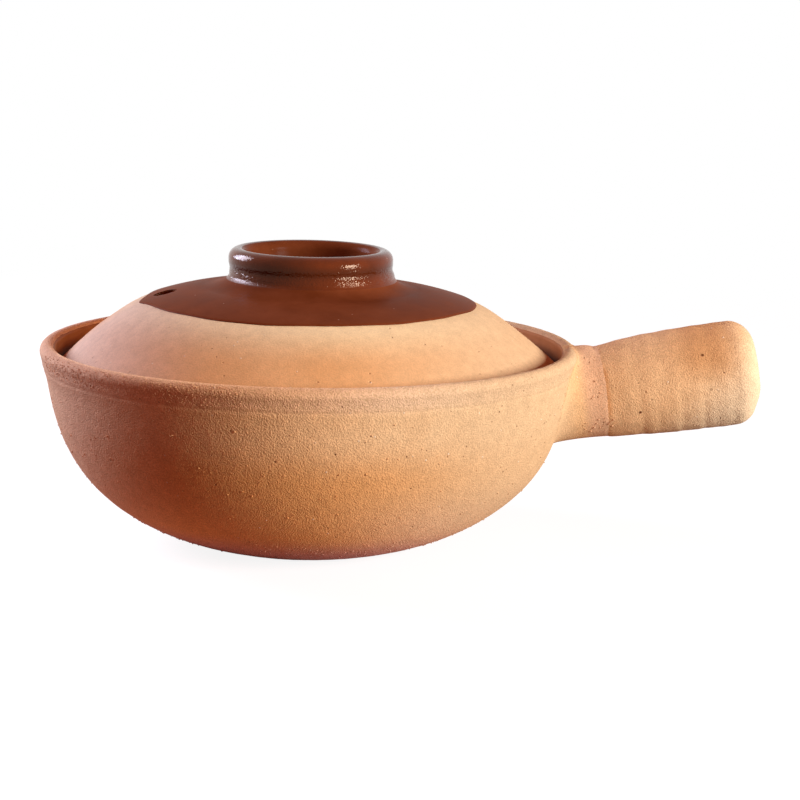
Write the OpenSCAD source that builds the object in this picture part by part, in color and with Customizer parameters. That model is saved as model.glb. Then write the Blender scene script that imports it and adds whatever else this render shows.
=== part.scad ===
// Single-handled clay pot with a loose lid. A thrown bowl carries a hollow thrown handle,
// luted on with a collar of clay, and a domed lid with a ring knob drops into its rim.
// Millimetres, +Z up. The origin is the centre of the base, and the handle points along +X.

/* [Bowl] */
// Outside diameter at the rim
rim_d = 210; // [190:1:240]
// Height from the table to the top of the rim
bowl_h = 77.3; // [68:0.1:95]
// Diameter of the flat base
base_d = 87; // [70:0.5:96]
// Slope of the wall where it leaves the base, in degrees
base_slope = 14.5; // [10:0.5:19]
// Reach of the wall's curve out from the base
base_reach = 63.9; // [56:0.1:70]
// Slope of the wall where it meets the lip, in degrees
rim_slope = 64.5; // [58:0.5:74]
// Reach of the wall's curve down from the lip
rim_reach = 12.5; // [8:0.5:18]
// Thickness of the wall
bowl_wall = 6.5; // [5:0.1:8]
// Thickness of the floor
floor_t = 7.2; // [6:0.1:10]
// Thickness of the rounded lip
lip_t = 6; // [4.6:0.1:7]
// Depth of the line turned under the rim, below the top of the rim
rim_line_drop = 9.2; // [8:0.1:14]
// Depth of that line into the wall
rim_line_depth = 0.5; // [0.2:0.1:1]
// Height of that line
rim_line_h = 2.4; // [1.6:0.1:4]

/* [Ledge for the lid] */
// Depth of the ledge below the top of the rim
ledge_drop = 10.8; // [9:0.1:14]
// Width of the ledge
ledge_w = 8.5; // [7:0.1:11]
// Thickness of the ledge's edge
ledge_t = 2.5; // [1.5:0.1:4]
// Height of the slope under the ledge that runs into the wall
ledge_taper = 6; // [4:0.1:10]

/* [Handle] */
// Length of the handle, from the bowl's wall to its open end
handle_len = 74.4; // [60:0.1:110]
// Rise of the handle, in degrees
handle_rise = 9; // [0:0.5:20]
// Distance from the top of the rim down to the top of the collar
handle_drop = 0.2; // [0:0.1:6]
// Diameter of the handle beside the collar
handle_seam_d = 35.7; // [30:0.1:40]
// Largest diameter of the handle, near its end
handle_tip_d = 41.6; // [36:0.1:48]
// Rounding of the handle's end
handle_round = 9; // [4:0.1:10]
// Diameter of the bore through the handle
handle_bore_d = 19; // [14:0.5:22]
// Rounding of the bore's mouth
bore_round = 2.2; // [1:0.1:2.5]
// Distance between the throwing rings on the handle
ring_pitch = 9.5; // [6:0.1:14]
// Depth of the throwing rings
ring_depth = 0.15; // [0.1:0.05:0.8]

/* [Collar] */
// Length of the collar, from the bowl's wall to the seam
collar_len = 12.8; // [9:0.1:18]
// Thickness of the collar at the seam
collar_t = 3; // [2:0.1:3.5]
// Spread of the collar where it meets the bowl
collar_flare = 1.2; // [0.4:0.1:3]

/* [Lid] */
// Height of the lid's crown above its seat
lid_rise = 31.4; // [24:0.1:40]
// Thickness of the lid
lid_wall = 5; // [4:0.1:6.5]
// Gap all round between the lid and the rim
lid_gap = 1.5; // [1:0.1:3]
// Height of the lid's upright edge
lid_edge_h = 2; // [1.5:0.1:4]
// Slope of the flank where it meets the edge, in degrees
flank_slope = 43.5; // [34:0.5:46]
// Reach of the flank's curve up from the edge
flank_reach = 14.5; // [10:0.5:28]
// Reach of the crown's curve out from its flat
crown_reach = 29; // [22:0.5:34]
// Diameter of the steam vent
vent_d = 9; // [6:0.1:11]
// Distance from the lid's axis to the steam vent
vent_r = 56.4; // [50:0.1:62]
// Direction of the steam vent, in degrees from the handle
vent_turn = 187; // [90:1:270]

/* [Knob] */
// Outside diameter of the ring knob
knob_d = 63.2; // [54:0.1:68]
// Height of the knob above the crown
knob_h = 15; // [14:0.1:19]
// Thickness of the ring
knob_wall = 6.4; // [4.2:0.1:8]
// Rounding of the ring's outer edge
knob_round = 3.4; // [2:0.1:5]
// Narrowing of the recess towards its floor
recess_taper = 1.2; // [0:0.1:3]
// Height of the groove's middle above the crown
groove_z = 8.4; // [7.8:0.1:9]
// Width of the groove round the ring
groove_w = 3.6; // [2:0.1:3.8]
// Depth of the groove
groove_depth = 0.6; // [0.2:0.1:1.2]
// Distance that the lower bead stands out past the upper one
bead_out = 0.4; // [0:0.1:1]
// Reach of the sweep from the ring out to the crown
foot_sweep = 6.5; // [5:0.1:9]
// Height at which that sweep starts
foot_h = 6; // [4:0.1:6.4]
// Slope of that sweep where it meets the crown, in degrees
foot_slope = 16; // [10:0.5:30]

/* [Glaze] */
// Thickness of the fired glaze
glaze_t = 0.4; // [0.3:0.05:0.6]
// Depth of the lid glaze's edge below the outer side of the steam vent
lid_glaze_drop = 1.6; // [0.8:0.1:8]

/* [Hidden] */

clay_colour = "#cd9259";
collar_colour = "#d39a70";
lid_colour = "#e0ab78";
glaze_colour = "#6a3220";

// Hair of room between pieces that were luted or fired together
joint_gap = 0.03;
// Room between the lid and the glazed ledge that it rests on
seat_gap = 0.3;
// Flat of the crown that shows round the knob's foot
crown_margin = 0.5;
// Rounding of the lid's edge
lid_edge_round = 1;
// Share of the ring's wall that its outer rounding may take up
ring_round_share = 0.72;
// Share of the sweep's reach and height over which it keeps its first and last slope
sweep_hold = 0.5;
// Share of the handle's wall that the roundings of its end may take up
end_round_share = 0.78;
mouth_round_share = 0.2;
// Depth inside the bowl at which the handle's root starts, before it is cut to the wall
root_depth = 20;
// Length by which a cutter runs past what it cuts
cut_over = 20;
// Steps along a wall's curve, round an arc, across the groove and along one throwing ring
curve_steps = 20;
arc_steps = 8;
groove_steps = 8;
ring_steps = 6;
$fn = 144;

rim_r = rim_d / 2;
base_r = base_d / 2;
lip_r = lip_t / 2;
lip_centre = [rim_r - lip_r, bowl_h - lip_r];
rim_in_r = rim_r - lip_t;
ledge_z = bowl_h - ledge_drop;
ledge_in_r = rim_in_r - ledge_w;
gallery_z = ledge_z - ledge_t - ledge_taper;
rim_line_z = bowl_h - rim_line_drop;
coat = joint_gap + glaze_t;

seat_z = ledge_z + coat + seat_gap;
edge_r = rim_in_r - lid_gap;
edge_z = seat_z + lid_edge_h;
crown_z = seat_z + lid_rise;

knob_r = knob_d / 2;
knob_top_z = crown_z + knob_h;
ring_round = min(knob_round, knob_wall * ring_round_share, knob_h - groove_z - groove_w / 2);
knob_crest_r = knob_r - ring_round;
knob_in_r = knob_r - knob_wall;
knob_in_round = knob_crest_r - knob_in_r;
recess_r = knob_in_r - recess_taper;
bead_r = knob_r + bead_out;
foot_r = bead_r + foot_sweep;
crown_r = foot_r + crown_margin;
foot_curve = [
    [bead_r, crown_z + foot_h],
    [bead_r, crown_z + foot_h * (1 - sweep_hold)],
    [foot_r, crown_z + joint_gap] + sweep_hold * foot_sweep * [-cos(foot_slope), sin(foot_slope)],
    [foot_r, crown_z + joint_gap]
];

seam_r = handle_seam_d / 2;
tip_r = handle_tip_d / 2;
bore_r = handle_bore_d / 2;
spigot_r = seam_r - collar_t;
end_wall = tip_r - ring_depth - bore_r;
end_round = min(handle_round, end_wall * end_round_share);
mouth_round = min(bore_round, end_wall * mouth_round_share);
straight_end = handle_len - end_round;
handle_z = bowl_h - handle_drop - (seam_r + collar_flare) / cos(handle_rise);

// Points of an arc about centre c, from angle a to angle b, without those before step first
function arc(c, r, a, b, first = 0) =
    [for (i = [first : arc_steps]) let (t = a + (b - a) * i / arc_steps) c + r * [cos(t), sin(t)]];

// Point of the cubic curve with control points c, and its unit normal to the left of its run
function curve_point(c, t) =
    let (u = 1 - t)
    u * u * u * c[0] + 3 * u * u * t * c[1] + 3 * u * t * t * c[2] + t * t * t * c[3];
function curve_normal(c, t) =
    let (u = 1 - t)
    let (run = u * u * (c[1] - c[0]) + 2 * u * t * (c[2] - c[1]) + t * t * (c[3] - c[2]))
    [-run[1], run[0]] / norm(run);

// The same curve moved sideways by inset, from place a to place b along it
function inset_point(c, t, inset) = curve_point(c, t) + inset * curve_normal(c, t);
function inset_curve(c, a, b, inset, first = 0) =
    [for (i = [first : curve_steps]) inset_point(c, a + (b - a) * i / curve_steps, inset)];

// Place along a climbing inset curve where it passes height z, found by halving
function climb(c, inset, z, low = 0, high = 1, tries = 30) =
    let (mid = (low + high) / 2)
    tries == 0 ? mid
    : inset_point(c, mid, inset)[1] < z ? climb(c, inset, z, mid, high, tries - 1)
    : climb(c, inset, z, low, mid, tries - 1);

// Place along an inward curve where it passes radius r, found the same way
function run_in(c, r, low = 0, high = 1, tries = 30) =
    let (mid = (low + high) / 2)
    tries == 0 ? mid
    : curve_point(c, mid)[0] > r ? run_in(c, r, mid, high, tries - 1)
    : run_in(c, r, low, mid, tries - 1);

function reversed(list) = [for (i = [len(list) - 1 : -1 : 0]) list[i]];

// Outer wall of the bowl, from the base up to the lip
wall_end = lip_centre + lip_r * [sin(rim_slope), -cos(rim_slope)];
bowl_curve = [
    [base_r, 0],
    [base_r, 0] + base_reach * [cos(base_slope), sin(base_slope)],
    wall_end - rim_reach * [cos(rim_slope), sin(rim_slope)],
    wall_end
];

// Outer face of the lid, from its edge up to the crown
lid_curve = [
    [edge_r, edge_z],
    [edge_r, edge_z] + flank_reach * [-cos(flank_slope), sin(flank_slope)],
    [crown_r + crown_reach, crown_z],
    [crown_r, crown_z]
];
vent_low_z = curve_point(lid_curve, run_in(lid_curve, vent_r + vent_d / 2))[1];
lid_glaze_z = vent_low_z - lid_glaze_drop;

// Outer wall with the line turned under the rim
function wall_at(z) = climb(bowl_curve, 0, z);
outer_wall = concat(
    inset_curve(bowl_curve, 0, wall_at(rim_line_z - rim_line_h / 2), 0),
    [
        inset_point(bowl_curve, wall_at(rim_line_z), rim_line_depth),
        curve_point(bowl_curve, wall_at(rim_line_z + rim_line_h / 2)),
        wall_end
    ],
    arc(lip_centre, lip_r, 0, 90),
    arc(lip_centre, lip_r, 90, 180, first = 1)
);

// Inside of the bowl from the axis up to the ledge and the rim, moved inwards by g
function inside(g) =
    let (inset = bowl_wall + g)
    let (low = climb(bowl_curve, inset, floor_t + g))
    let (high = climb(bowl_curve, inset, gallery_z))
    concat(
        [[0, floor_t + g], [inset_point(bowl_curve, low, inset)[0], floor_t + g]],
        inset_curve(bowl_curve, low, high, inset, first = 1),
        [
            [ledge_in_r - g, ledge_z - ledge_t],
            [ledge_in_r - g, ledge_z + g],
            [rim_in_r - g, ledge_z + g]
        ]
    );

// Face of the knob's ring from its inner edge over the top to its foot, moved outwards by g
function groove_at(z) =
    let (w = abs(z - groove_z) / groove_w)
    w >= 0.5 ? 0 : groove_depth * (1 + cos(360 * w)) / 2;
function ring_face(g) = concat(
    arc([knob_crest_r, knob_top_z - knob_in_round], knob_in_round + g, 180, 90),
    arc([knob_crest_r, knob_top_z - ring_round], ring_round + g, 90, 0, first = 1),
    [
        for (i = [0 : groove_steps])
            let (w = i / groove_steps)
            let (z = groove_z + groove_w * (0.5 - w))
            [knob_r + bead_out * w + g - groove_at(z), crown_z + z]
    ],
    inset_curve(foot_curve, 0, 1, g)
);

// Top of the lid from its axis over the knob and down to the edge of the glaze, moved outwards by g
function glazed_face(g) = concat(
    [[0, crown_z + g], [recess_r - g, crown_z + g]],
    ring_face(g),
    inset_curve(lid_curve, 1, climb(lid_curve, 0, lid_glaze_z), -g)
);

// Radius of the handle at distance s from the bowl's wall
function ring_at(s) = ring_depth * (1 - cos(360 * (s - collar_len) / ring_pitch)) / 2;
function handle_r(s) =
    let (rest = (straight_end - s) / (straight_end - collar_len))
    tip_r - (tip_r - seam_r) * rest * rest * rest - ring_at(s);

// Bowl filled to its outer face and grown by g, with all that lies inside the rim's crest
module bowl_cutter(g) {
    rotate_extrude()
        polygon(concat(
            [[0, -cut_over], [base_r, -cut_over]],
            inset_curve(bowl_curve, 0, 1, -g),
            arc(lip_centre, lip_r + g, 0, 90),
            [[lip_centre[0], bowl_h + cut_over], [0, bowl_h + cut_over]]
        ));
}

// Steam vent, straight down through the lid
module vent_cutter() {
    rotate([0, 0, vent_turn])
        translate([vent_r, 0, seat_z])
            cylinder(d = vent_d, h = lid_rise + cut_over);
}

// Sets a piece along the handle, its Z axis starting at the bowl's wall, and cuts it to that wall
module on_bowl_wall() {
    difference() {
        translate([curve_point(bowl_curve, wall_at(handle_z))[0], 0, handle_z])
            rotate([0, 90 - handle_rise, 0])
                children();
        bowl_cutter(joint_gap);
    }
}

// Thrown bowl with its rounded lip and the inner ledge that carries the lid
module bowl() {
    color(clay_colour)
        rotate_extrude()
            polygon(concat([[0, 0]], outer_wall, reversed(inside(0))));
}

// Brown glaze inside the bowl, over the ledge and up to the lip
module bowl_glaze() {
    color(glaze_colour)
        rotate_extrude()
            polygon(concat(
                inside(joint_gap),
                [[rim_in_r - joint_gap, lip_centre[1]], [rim_in_r - coat, lip_centre[1]]],
                reversed(inside(coat))
            ));
}

// Hollow handle thrown as a tube, with throwing rings and an open, rounded end
module handle() {
    ring_step = ring_pitch / ring_steps;
    end_r = handle_r(straight_end);
    color(clay_colour)
        on_bowl_wall()
            rotate_extrude()
                polygon(concat(
                    [[bore_r, -root_depth], [spigot_r, -root_depth], [spigot_r, collar_len]],
                    [for (s = [collar_len : ring_step : straight_end - ring_step / 2]) [handle_r(s), s]],
                    arc([end_r - end_round, straight_end], end_round, 0, 90),
                    arc([bore_r + mouth_round, handle_len - mouth_round], mouth_round, 90, 180)
                ));
}

// Collar of soft clay pressed round the handle's root
module handle_collar() {
    sleeve_r = spigot_r + joint_gap;
    sleeve_end = collar_len - joint_gap;
    color(collar_colour)
        on_bowl_wall()
            rotate_extrude()
                polygon(concat(
                    [[sleeve_r, sleeve_end], [sleeve_r, -root_depth], [seam_r + collar_flare, -root_depth]],
                    [
                        for (i = [0 : arc_steps])
                            let (w = i / arc_steps)
                            [seam_r + collar_flare * (1 - w) * (1 - w), sleeve_end * w]
                    ]
                ));
}

// Thrown lid, a shallow dome with a flat seat and a steam vent
module lid() {
    seat_in = climb(lid_curve, lid_wall, seat_z);
    color(lid_colour)
        difference() {
            rotate_extrude()
                polygon(concat(
                    [[0, crown_z], [0, crown_z - lid_wall]],
                    inset_curve(lid_curve, 1, seat_in + (1 - seat_in) / curve_steps, lid_wall),
                    [[inset_point(lid_curve, seat_in, lid_wall)[0], seat_z]],
                    arc([edge_r - lid_edge_round, seat_z + lid_edge_round], lid_edge_round, -90, 0),
                    inset_curve(lid_curve, 0, 1, 0)
                ));
            vent_cutter();
        }
}

// Ring knob, thrown on the crown of the lid
module lid_knob() {
    color(glaze_colour)
        rotate_extrude()
            polygon(concat([[recess_r, crown_z + joint_gap]], ring_face(0)));
}

// Brown glaze over the knob and the top of the lid
module lid_glaze() {
    color(glaze_colour)
        difference() {
            rotate_extrude()
                polygon(concat(glazed_face(joint_gap), reversed(glazed_face(coat))));
            vent_cutter();
        }
}

bowl();
bowl_glaze();
handle();
handle_collar();
lid();
lid_knob();
lid_glaze();
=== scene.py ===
"""Looks of a single-handled clay pot: a coarse thrown bowl with a hollow handle luted to its wall,
and a loose domed lid whose ring knob and crown are under brown glaze."""

import math

import bmesh
import bpy
import numpy as np
from mathutils import Matrix, Vector


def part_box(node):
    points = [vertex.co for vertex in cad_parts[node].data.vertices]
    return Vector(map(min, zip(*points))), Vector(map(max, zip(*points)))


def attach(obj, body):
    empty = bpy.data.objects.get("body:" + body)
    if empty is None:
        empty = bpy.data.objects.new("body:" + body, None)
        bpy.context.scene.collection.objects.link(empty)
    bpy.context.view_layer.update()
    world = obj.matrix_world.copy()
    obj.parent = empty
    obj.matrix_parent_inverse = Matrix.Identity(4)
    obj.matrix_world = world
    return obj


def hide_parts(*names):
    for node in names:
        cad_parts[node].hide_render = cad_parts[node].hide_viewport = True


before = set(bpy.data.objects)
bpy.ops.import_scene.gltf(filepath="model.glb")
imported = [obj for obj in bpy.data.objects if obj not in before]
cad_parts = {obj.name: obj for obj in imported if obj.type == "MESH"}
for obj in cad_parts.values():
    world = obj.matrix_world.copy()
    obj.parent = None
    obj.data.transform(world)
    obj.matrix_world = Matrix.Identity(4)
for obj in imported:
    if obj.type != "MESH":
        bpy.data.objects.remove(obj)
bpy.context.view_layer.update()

MM = 0.001


def sized(node):
    """Lowest and highest corners of a CAD node, in millimetres."""
    low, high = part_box(node)
    return low / MM, high / MM


# Sizes that the frame gives, in millimetres
RIM_R, BOWL_H = sized("bowl")[1].x, sized("bowl")[1].z
SEAT_Z, CROWN_Z = sized("lid")[0].z, sized("lid")[1].z
EDGE_R = sized("lid")[1].x
FOOT_R, KNOB_TOP = sized("lid_knob")[1].x, sized("lid_knob")[1].z
GLAZE_R = sized("lid_glaze")[1].x

# Bowl: the wall leaves the base and meets the lip at these slopes
BASE_R = 43.5
BASE_SLOPE, BASE_REACH = math.radians(14.5), 63.9
RIM_SLOPE, RIM_REACH = math.radians(64.5), 12.5
BOWL_WALL, FLOOR_T = 6.5, 7.2
LIP_R = 3.0
LIP_START = math.degrees(RIM_SLOPE) - 90
RIM_LINE_Z, RIM_LINE_H, RIM_LINE_DEPTH = BOWL_H - 9.2, 1.7, 0.25
BOWL_WANDER, BOWL_SEED = 0.5, 3.0

# Swellings of the bowl's wall: how far out, at what height, and how soon they fade upwards and sideways
LOW_SWELL, LOW_SWELL_Z, LOW_SWELL_H, LOW_SWELL_TURN = 0.9, 30, 13, 0.9
RIM_SWELL, RIM_SWELL_Z, RIM_SWELL_H = 0.6, 69, 3.5

# Ledge inside the rim that carries the lid
LEDGE_Z, LEDGE_W, LEDGE_T, LEDGE_TAPER = BOWL_H - 10.8, 8.5, 2.5, 6.0
RIM_IN_R = RIM_R - 2 * LIP_R
LEDGE_R = RIM_IN_R - LEDGE_W
GALLERY_Z = LEDGE_Z - LEDGE_T - LEDGE_TAPER

# Glaze: a hair of room to the clay, its fired thickness, and where the lining ends on the lip, in degrees
JOINT_GAP, GLAZE_T = 0.03, 0.4
COAT = JOINT_GAP + GLAZE_T
LINING_END = 142

# Lid
LID_WALL, LID_EDGE_H, LID_EDGE_ROUND, LID_EDGE_OUT = 5.0, 0.8, 0.6, 1.1
FLANK_SLOPE, FLANK_REACH, CROWN_REACH = math.radians(43.5), 14.5, 29.0
CROWN_R = FOOT_R + 0.5
VENT_R, VENT_PLACE, VENT_TURN = 4.5, 56.4, math.radians(187)

# What the kiln did to the lid: a lean, a sag round the crown and a fuller shoulder, each with its place
LEAN, LEAN_START, LEAN_RISE = math.radians(0.4), 1, 14
SAG, SAG_R, SAG_W = 0.35, 52, 11
SHOULDER, SHOULDER_R, SHOULDER_W = 0.45, 69, 7
BEAD_SHIFT, BEAD_Z, BEAD_H = 0.5, CROWN_Z + 5, 2.5

# Ring knob
KNOB_R, KNOB_WALL, KNOB_ROUND, RECESS_TAPER = 31.6, 6.4, 3.4, 1.2
GROOVE_Z, GROOVE_W, GROOVE_DEPTH = 7.9, 5.0, 0.4
BEAD_OUT, FOOT_H, FOOT_SLOPE, SWEEP_HOLD = 0.2, 5.4, math.radians(16), 0.5
KNOB_CREST_R = KNOB_R - KNOB_ROUND
RECESS_R = KNOB_R - KNOB_WALL - RECESS_TAPER

# Glaze on the lid: how its sweep runs out, its rounded edge, and its dip past the vent
COAT_REACH, COAT_SLOPE = 2.5, math.radians(6)
EDGE_BEAD, EDGE_IN = 1.2, 0.6
VENT_DIP, VENT_DIP_TURN, VENT_DIP_W = 2.4, VENT_TURN + 0.03, 0.12
GLOSS_Z, GLOSS_R = CROWN_Z + 3.5, KNOB_CREST_R - 1.5

# Handle, along its own axis from the bowl's wall
HANDLE_LEN, HANDLE_RISE = 74.4, math.radians(9)
SEAM_R, TIP_R, BORE_R = 17.85, 20.8, 9.5
END_ROUND, MOUTH_ROUND = 8.54, 2.19
RING_PITCH, RING_DEPTH = 9.5, 0.12
SEAM_SINK, SEAM_SINK_LEN = 0.3, 1.2
HANDLE_Z_DROP = 0.2

# Collar: its length, wall and flare, how far it is smeared over the bowl, and how deep it is set in
COLLAR_LEN, COLLAR_T, COLLAR_FLARE = 12.8, 3.0, 1.2
SMEAR_SIDE, SMEAR_TOP, COLLAR_SET = 6.0, 1.2, 1.2
HANDLE_Z = BOWL_H - HANDLE_Z_DROP - (SEAM_R + COLLAR_FLARE) / math.cos(HANDLE_RISE)

# Marks of the hand on the handle: creases by their place along it and their depth, and pits, drawn only as
# painted shade, by their place along it, direction, radius and strength
CREASES, CREASE_W = ((27.2, 0.12), (33.5, 0.14), (42.8, 0.22), (51.5, 0.26)), 1.7
PITS = ((26.4, -67.4, 19.2, 1.0), (52.8, -124.5, 20.4, 0.9), (54.3, -85.5, 20.4, 0.5))


# Outlines

def smooth(share):
    """Eases a share between 0 and 1."""
    share = np.clip(share, 0, 1)
    return share * share * (3 - 2 * share)


def bell(value, middle, width):
    """1 at the middle, fading to nothing over about twice the width on both sides."""
    return np.exp(-((value - middle) / width) ** 2)


def waves(turn, *parts):
    """A wandering line round an axis, from waves given by their height, count and start."""
    return sum(height * np.sin(count * turn + start) for height, count, start in parts)


def arc(centre, radius, start, end, steps=12):
    """Points of an arc, with angles in degrees."""
    turn = np.radians(np.linspace(start, end, steps + 1))
    return np.array(centre) + radius * np.stack([np.cos(turn), np.sin(turn)], 1)


def cubic(control, place, inset=0.0):
    """Points of a cubic curve at the given places, moved to the left of its run by inset."""
    c = np.array(control, float)
    t = np.atleast_1d(np.asarray(place, float))[:, None]
    u = 1 - t
    points = u**3 * c[0] + 3 * u * u * t * c[1] + 3 * u * t * t * c[2] + t**3 * c[3]
    run = u * u * (c[1] - c[0]) + 2 * u * t * (c[2] - c[1]) + t * t * (c[3] - c[2])
    left = np.stack([-run[:, 1], run[:, 0]], 1) / np.linalg.norm(run, axis=1, keepdims=True)
    return points + np.asarray(inset, float).reshape(-1, 1) * left


def place_at(control, inset, height):
    """Place along a climbing curve where it passes a height."""
    places = np.linspace(0, 1, 2001)
    return float(np.interp(height, cubic(control, places, inset)[:, 1], places))


def line(*points, step=2.0):
    """Straight stretches through the points, cut so that no piece is longer than step."""
    out = [np.array(points[0], float)]
    for a, b in zip(points, points[1:]):
        a, b = np.array(a, float), np.array(b, float)
        pieces = max(1, math.ceil(np.linalg.norm(b - a) / step))
        out += [a + (b - a) * (i + 1) / pieces for i in range(pieces)]
    return np.array(out)


def joined(*stretches):
    """One outline from several stretches, without doubled points."""
    points = np.vstack(stretches)
    keep = np.r_[True, np.linalg.norm(np.diff(points, axis=0), axis=1) > 1e-4]
    return points[keep]


LIP_CENTRE = np.array([RIM_R - LIP_R, BOWL_H - LIP_R])
WALL_END = LIP_CENTRE + LIP_R * np.array([math.sin(RIM_SLOPE), -math.cos(RIM_SLOPE)])
BOWL_CURVE = [
    (BASE_R, 0),
    (BASE_R + BASE_REACH * math.cos(BASE_SLOPE), BASE_REACH * math.sin(BASE_SLOPE)),
    WALL_END - RIM_REACH * np.array([math.cos(RIM_SLOPE), math.sin(RIM_SLOPE)]),
    WALL_END,
]
LID_EDGE = np.array([EDGE_R + LID_EDGE_OUT, SEAT_Z + LID_EDGE_H])
LID_CURVE = [
    LID_EDGE,
    LID_EDGE + FLANK_REACH * np.array([-math.cos(FLANK_SLOPE), math.sin(FLANK_SLOPE)]),
    (CROWN_R + CROWN_REACH, CROWN_Z),
    (CROWN_R, CROWN_Z),
]


def wall_outline(steps=104):
    """Outer wall of the bowl from the base to the lip, with the line turned under the rim."""
    places = np.linspace(0, 1, steps + 1)
    height = cubic(BOWL_CURVE, places)[:, 1]
    away = np.clip(np.abs(height - RIM_LINE_Z) / RIM_LINE_H, 0, 0.5)
    return cubic(BOWL_CURVE, places, RIM_LINE_DEPTH * (1 + np.cos(2 * math.pi * away)) / 2)


def inside_outline(g, steps=14):
    """Inside of the bowl from the axis to the foot of the rim, moved inwards by g."""
    inset = BOWL_WALL + g
    low = place_at(BOWL_CURVE, inset, FLOOR_T + g)
    high = place_at(BOWL_CURVE, inset, GALLERY_Z)
    wall = cubic(BOWL_CURVE, np.linspace(low, high, steps + 1), inset)
    return joined(
        line((0, FLOOR_T + g), (wall[0, 0], FLOOR_T + g), step=8),
        wall,
        line(wall[-1], (LEDGE_R - g, LEDGE_Z - LEDGE_T), (LEDGE_R - g, LEDGE_Z + g),
             (RIM_IN_R - g, LEDGE_Z + g)),
    )


def ring_outline(g, reach=0.0, slope=FOOT_SLOPE):
    """Face of the ring knob from the recess over its top and down its sweep to the crown, moved outwards
    by g. The sweep ends at this slope, and by reach further out than the knob's own clay."""
    inner_round = KNOB_CREST_R - (KNOB_R - KNOB_WALL)
    down = np.linspace(0, 1, 17)
    z = GROOVE_Z + GROOVE_W * (0.5 - down)
    groove = GROOVE_DEPTH * (1 + np.cos(2 * math.pi * (z - GROOVE_Z) / GROOVE_W)) / 2
    bead_r = KNOB_R + BEAD_OUT
    foot = np.array([FOOT_R + reach, CROWN_Z + JOINT_GAP])
    hold = SWEEP_HOLD * (foot[0] - bead_r)
    sweep = [(bead_r, CROWN_Z + FOOT_H), (bead_r, CROWN_Z + FOOT_H * (1 - SWEEP_HOLD)),
             foot + hold * np.array([-math.cos(slope), math.sin(slope)]), foot]
    return joined(
        arc((KNOB_CREST_R, KNOB_TOP - inner_round), inner_round + g, 180, 90),
        arc((KNOB_CREST_R, KNOB_TOP - KNOB_ROUND), KNOB_ROUND + g, 90, 0),
        np.stack([KNOB_R + BEAD_OUT * down + g - groove, CROWN_Z + z], 1),
        cubic(sweep, np.linspace(0, 1, 25), g),
    )


def handle_outline(root):
    """Handle from its root inside the collar, over its rings and round end, back down its bore."""
    straight_end = HANDLE_LEN - END_ROUND
    s = np.linspace(COLLAR_LEN, straight_end, 96)
    rest = (straight_end - s) / (straight_end - COLLAR_LEN)
    rings = RING_DEPTH * (1 - np.cos(2 * math.pi * (s - COLLAR_LEN) / RING_PITCH)) / 2
    sunk = SEAM_SINK * np.exp(-(s - COLLAR_LEN) / SEAM_SINK_LEN)
    radius = TIP_R - (TIP_R - SEAM_R) * rest**3 - rings - sunk
    spigot_r = SEAM_R - COLLAR_T
    return joined(
        line((BORE_R, root), (spigot_r, root), (spigot_r, COLLAR_LEN), (radius[0], COLLAR_LEN), step=1.5),
        np.stack([radius, s], 1),
        arc((radius[-1] - END_ROUND, straight_end), END_ROUND, 0, 90, 20),
        arc((BORE_R + MOUTH_ROUND, HANDLE_LEN - MOUTH_ROUND), MOUTH_ROUND, 90, 180, 8),
        line((BORE_R, HANDLE_LEN - MOUTH_ROUND), (BORE_R, root), step=4),
    )


WALL = joined(wall_outline(400), arc(LIP_CENTRE, LIP_R, LIP_START, 89, 40))
HANDLE_ROOT = Vector((float(np.interp(HANDLE_Z, WALL[:, 1], WALL[:, 0])), 0, HANDLE_Z))
HANDLE_FRAME = Matrix.Translation(HANDLE_ROOT) @ Matrix.Rotation(math.pi / 2 - HANDLE_RISE, 4, "Y")
HANDLE_AXIS = HANDLE_FRAME.to_3x3() @ Vector((0, 0, 1))


# Nodes and meshes

def add(tree, kind, links=None, out=0, **settings):
    """Adds one node and gives back one of its outputs, or the node itself where out is None: settings are its
    own properties, and links gives each input a value or the output of another node."""
    node = tree.nodes.new(kind)
    for name, value in settings.items():
        setattr(node, name, value)
    for socket, value in (links or {}).items():
        if isinstance(value, bpy.types.NodeSocket):
            tree.links.new(value, node.inputs[socket])
        else:
            node.inputs[socket].default_value = value
    return node if out is None else node.outputs[out]


def linked(name, mesh):
    """A new object at the origin that shows this mesh."""
    piece = bpy.data.objects.new(name, mesh)
    bpy.context.scene.collection.objects.link(piece)
    return piece


def settle(piece):
    """Turns a piece and its modifiers into a plain mesh."""
    seen = piece.evaluated_get(bpy.context.evaluated_depsgraph_get())
    mesh = bpy.data.meshes.new_from_object(seen)
    mesh.name = piece.name
    piece.modifiers.clear()
    piece.data = mesh
    return piece


def close_up(mesh):
    """Merges doubled points, turns all faces outwards and smooths the shading."""
    shell = bmesh.new()
    shell.from_mesh(mesh)
    bmesh.ops.remove_doubles(shell, verts=shell.verts, dist=1e-7)
    bmesh.ops.recalc_face_normals(shell, faces=shell.faces)
    for face in shell.faces:
        face.smooth = True
    shell.to_mesh(mesh)
    shell.free()


def points_of(mesh):
    """The mesh's points in millimetres, one row each."""
    flat = np.empty(len(mesh.vertices) * 3)
    mesh.vertices.foreach_get("co", flat)
    return flat.reshape(-1, 3) / MM


def move_points(mesh, points):
    """Sets the mesh's points from millimetres."""
    mesh.vertices.foreach_set("co", (points * MM).ravel())
    mesh.update()


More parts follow.
